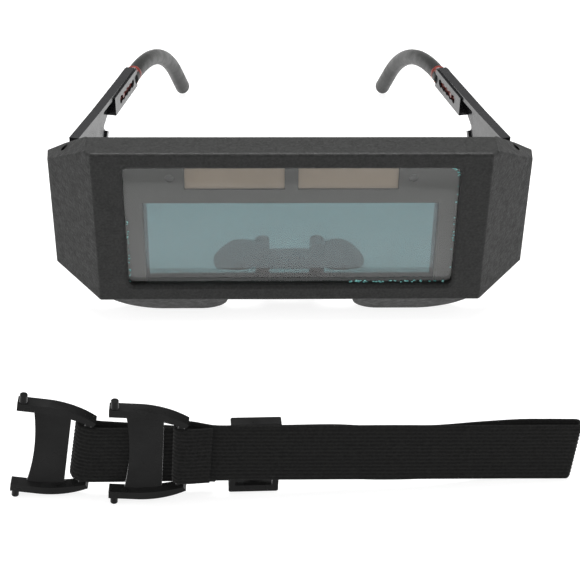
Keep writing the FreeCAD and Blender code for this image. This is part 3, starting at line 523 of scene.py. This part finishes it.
def section_of_band(cords, samples):
    """Cross-section of ribbed elastic: points (up the band, out from its middle), with a cord at each rib."""
    outline = []
    count = cords * samples
    for face in (1, -1):
        for i in range(count + 1):
            across = (-1 + 2 * i / count) * face
            edge = 1 - abs(across) ** 22
            rib = abs(math.sin(math.pi * cords * (across + 1) / 2))
            out = (BAND_THICK / 2 - RIB_HIGH) * max(edge, 0.0) ** 0.5 + RIB_HIGH * rib * max(edge, 0.0)
            outline.append((across * BAND_HALF, out * face))
    return outline


def make_band():
    """The strap as one ribbed, woven mesh: folded, sewn round one clip and tucked back from the other."""
    frayed_length = 9.0
    route = smooth_route(band_stations(), BAND_STEP * MM)
    section = section_of_band(cords=15, samples=4)
    mesh = bpy.data.meshes.new("band_webbing")
    build = bmesh.new()
    uv = build.loops.layers.uv.new("weave")
    rings = []
    length = 0.0
    travelled = []
    count = len(route)
    for i, (place, up) in enumerate(route):
        before = route[max(i - 1, 0)][0]
        after = route[min(i + 1, count - 1)][0]
        heading = (after - before).normalized()
        normal = up.cross(heading).normalized()
        length += (place - before).length
        travelled.append(length)
        wave = 0.12 * math.sin(length / (9 * MM)) + 0.08 * math.sin(length / (3.7 * MM) + 1.0)
        near_tail = max(0.0, 1.0 - (count - 1 - i) * BAND_STEP / frayed_length)
        ring = []
        for height, out in section:
            ragged = near_tail * 0.5 * math.sin(height * 3.1 + i)
            lift = wave * height / BAND_HALF
            rise = height * (1 - 0.02 * near_tail) + 0.05 * wave
            point = place + (up * rise + normal * (out + 0.25 * lift)) * MM
            point += heading * ragged * 0.4 * MM
            ring.append(build.verts.new(point))
        rings.append(ring)
    width = len(section)
    for i in range(count - 1):
        for j in range(width):
            k = (j + 1) % width
            face = build.faces.new((rings[i][j], rings[i + 1][j], rings[i + 1][k], rings[i][k]))
            face.smooth = True
            corners = ((i, j), (i + 1, j), (i + 1, k), (i, k))
            for loop, (a, b) in zip(face.loops, corners):
                loop[uv].uv = (travelled[a] * 1000, section[b][0])
    build.faces.new(rings[0])
    build.faces.new(rings[-1][::-1])
    bmesh.ops.recalc_face_normals(build, faces=build.faces)
    build.to_mesh(mesh)
    build.free()
    band = bpy.data.objects.new("band_webbing", mesh)
    bpy.context.scene.collection.objects.link(band)
    mesh.materials.append(woven_black())
    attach(band, "headband")
    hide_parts("elastic_band")


# ---------------------------------------------------------------- ear hooks
def ring_tube(name, stations, around):
    """Lofts a closed tube through stations of (centre, first axis, second axis); both ends are closed."""
    build = bmesh.new()
    rings = []
    for centre, first, second in stations:
        ring = []
        for i in range(around):
            angle = 2 * math.pi * i / around
            ring.append(build.verts.new(centre + first * math.cos(angle) + second * math.sin(angle)))
        rings.append(ring)
    for near, far in zip(rings, rings[1:]):
        for i in range(around):
            k = (i + 1) % around
            build.faces.new((near[i], far[i], far[k], near[k])).smooth = True
    build.faces.new(rings[0][::-1])
    build.faces.new(rings[-1])
    bmesh.ops.recalc_face_normals(build, faces=build.faces)
    mesh = bpy.data.meshes.new(name)
    build.to_mesh(mesh)
    build.free()
    piece = bpy.data.objects.new(name, mesh)
    bpy.context.scene.collection.objects.link(piece)
    return piece


def hook_line():
    """The hook's centre line from its collar to its tip, as (along the temple, height) in millimetres."""
    start, corner, tip = Vector((73.1, 7.8)), Vector((104.2, 6.4)), Vector((135.4, -31.8))
    bend = 80.0
    before, after = (start - corner).normalized(), (tip - corner).normalized()
    half_turn = (math.pi - before.angle(after)) / 2
    run = bend * math.tan(half_turn)
    first, last = corner + before * run, corner + after * run
    centre = corner + (before + after).normalized() * (bend / math.cos(half_turn))
    points = [start.lerp(first, i / 30) for i in range(30)]
    spoke, end_spoke = first - centre, last - centre
    sweep = spoke.angle_signed(end_spoke)
    for i in range(60):
        points.append(centre + Matrix.Rotation(-sweep * i / 60, 2) @ spoke)
    points += [last.lerp(tip, i / 60) for i in range(61)]
    return points


def make_collar(label, hinge, ahead, across):
    """The round orange sleeve between the housing and the rubber, with a narrow groove at each end."""
    profile = [(71.45, 2.2), (71.5, 2.55), (71.7, 2.7), (72.9, 2.78), (73.15, 2.7), (73.2, 2.3), (73.9, 2.2)]
    fall = -math.tan(math.radians(6.0))
    heading = (ahead + Vector((0, 0, fall))).normalized()
    outward = ahead.cross(Vector((0, 0, 1)))
    lift = outward.cross(heading).normalized()
    stations = []
    for along, radius in profile:
        height = SLIDE_HIGH + (along - SLIDE_AT) * fall
        centre = hinge + across + (ahead * along + Vector((0, 0, height))) * MM
        stations.append((centre, outward * radius * MM, lift * radius * 1.03 * MM))
    collar = ring_tube(f"orange_collar_{label}", stations, 48)
    # The collar takes the slider's material, with its painted highlight and painted shade.
    collar.data.materials.append(slider_material(label))
    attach(collar, f"hook_{label}")


def make_hook(label, side, skin):
    """A soft hook: slightly taller than wide, thicker towards its rounded tip, with a dimple there."""
    hinge = Vector(joints[f"temple_{label}_fold"]["pos_m"])
    slide = Vector(joints[f"hook_{label}_slide"]["axis"])
    ahead = Vector((slide.x, slide.y, 0.0)).normalized()
    outward = Vector((side * ahead.y, -side * ahead.x, 0.0))
    points = hook_line()
    middle = -0.7
    radius = 2.7
    stations = []
    last = len(points) - 1
    for i, point in enumerate(points):
        step = points[min(i + 1, last)] - points[max(i - 1, 0)]
        rise = Vector((-step.y, step.x)).normalized()
        centre = hinge + (ahead * point.x + outward * middle + Vector((0, 0, point.y))) * MM
        lift = ahead * rise.x + Vector((0, 0, rise.y))
        swell = 1.0 + 0.05 * (i / last) - 0.04 * math.exp(-(i / 5.0) ** 2)
        stations.append((centre, outward * radius * swell * 0.97 * MM, lift * radius * swell * 1.03 * MM))
    centre, first, second = stations[-1]
    onward = first.cross(second).normalized() * first.length
    if onward.z > 0:
        onward = -onward
    for i in range(1, 10):
        turn = math.pi / 2 * i / 9.3
        stations.append((centre + onward * math.sin(turn), first * math.cos(turn), second * math.cos(turn)))
    hook = ring_tube(f"ear_rubber_{label}", stations, 56)
    dimple = centre - first * 0.72 + second * 0.69 + onward * -0.5
    for vertex in hook.data.vertices:
        gap = (vertex.co - dimple).length / (0.75 * MM)
        vertex.co += vertex.normal * -0.42 * MM * math.exp(-gap ** 4)
    hook.data.materials.append(skin)
    make_collar(label, hinge, ahead, outward * middle * MM)
    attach(hook, f"hook_{label}")
    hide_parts(f"ear_hook_{label}")


# ---------------------------------------------------------------- nose pads
def make_nose_pad(label, side, skin):
    """A soft pad that sweeps out and down from the bridge, blade-like, with rounded ends."""
    low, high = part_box(f"nose_pad_{label}")
    inner = Vector((low.x if side > 0 else high.x, low.y, high.z))
    route = [(0.8, 2.4, -5.6), (3.6, 3.4, -6.0), (6.9, 4.8, -7.0), (10.1, 6.2, -8.6), (13.1, 7.6, -10.8),
             (16.2, 9.0, -13.8)]
    points = [inner + Vector((side * x, y, z)) * MM for x, y, z in route]
    spans = 6
    fine = []
    for i in range(len(points) - 1):
        four = [points[min(max(i + k, 0), len(points) - 1)] for k in (-1, 0, 1, 2)]
        for step in range(spans):
            weights = curve_weights(step / spans)
            fine.append(sum((w * p for w, p in zip(weights, four)), Vector()))
    fine.append(points[-1])
    stations = []
    last = len(fine) - 1
    for i, centre in enumerate(fine):
        heading = (fine[min(i + 1, last)] - fine[max(i - 1, 0)]).normalized()
        broad = Vector((0, 0.5, 0.87)).cross(heading).cross(heading).normalized()
        thin = broad.cross(heading).normalized()
        share = i / last
        round_off = max(0.0, 1 - (2 * share - 1) ** 8) ** 0.5
        width = (3.0 + 2.2 * math.sin(math.pi * min(1.0, share * 1.1))) * max(round_off, 0.08)
        stations.append((centre, broad * width * MM, thin * 1.9 * max(round_off, 0.08) * MM))
    pad = ring_tube(f"nose_rubber_{label}", stations, 32)
    pad.data.materials.append(skin)
    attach(pad, "frame")
    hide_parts(f"nose_pad_{label}")


# ---------------------------------------------------------------- small details
def make_edge_glints():
    """Painted glints: small bright cyan-green flakes along the opening's left, bottom and right edges, just in
    front of the cover.
    """
    rng = random.Random(31)
    half_x, half_z = 51.0, 21.5
    corner = 3.0
    cover_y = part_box("cover_lens")[0].y - LENS.y
    spots = []
    for i in range(26):
        spots.append((-half_x + rng.uniform(0.0, 0.5), rng.uniform(-half_z, 2.0), 0.35))
    for i in range(30):
        spots.append((rng.uniform(18.0, 49.0), -half_z + rng.uniform(-0.1, 0.5), 0.55))
    for i in range(14):
        spots.append((half_x - rng.uniform(0.0, 0.5), rng.uniform(-half_z, 21.0), 0.4))
    for i in range(10):
        turn = rng.uniform(0.1, 1.5)
        across, high = half_x - corner + corner * math.cos(turn), half_z - corner + corner * math.sin(turn)
        spots.append((across, high, 0.5))
    build = bmesh.new()
    for x, z, size in spots:
        centre = LENS + Vector((x, 0.0, z)) * MM
        centre.y = LENS.y + cover_y - 0.12 * MM
        corners = []
        for k in range(5):
            angle = 2 * math.pi * k / 5 + rng.uniform(-0.4, 0.4)
            reach = size * rng.uniform(0.5, 1.1) * MM
            tilt = rng.uniform(-0.1, 0.06) * MM
            offset = Vector((reach * math.cos(angle), tilt, reach * math.sin(angle) * 0.6))
            corners.append(build.verts.new(centre + offset))
        build.faces.new(corners)
    mesh = bpy.data.meshes.new("painted_edge_glints")
    build.to_mesh(mesh)
    build.free()
    solid = bpy.data.objects.new("painted_edge_glints", mesh)
    bpy.context.scene.collection.objects.link(solid)
    thick = solid.modifiers.new("thickness", "SOLIDIFY")
    thick.thickness = 0.05 * MM
    # Painted glint colour: bright cyan-green standing in for light caught on the cover's edges.
    skin = Skin("painted_glint_green", (0.08, 0.42, 0.4), 0.15)
    skin.mottle((0.03, 0.25, 0.24), (0.35, 0.75, 0.72), 900.0)
    mesh.materials.append(skin.material)
    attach(solid, "frame")


def keep_out_of_reflections():
    """The headband lies in front of the lens; the cover is shown clean, without its mirror image."""
    for piece in (bpy.data.objects["band_webbing"], *(frame["nodes"][name] for name in HEADBAND_PARTS)):
        piece.visible_glossy = False


make_camera()
make_studio()
dress_frame()
make_band()
hook_skin = soft_grey()
for label, side in (("left", -1), ("right", 1)):
    make_hook(label, side, hook_skin)
nose_skin = soft_black()
for label, side in (("left", -1), ("right", 1)):
    make_nose_pad(label, side, nose_skin)
make_edge_glints()
keep_out_of_reflections()
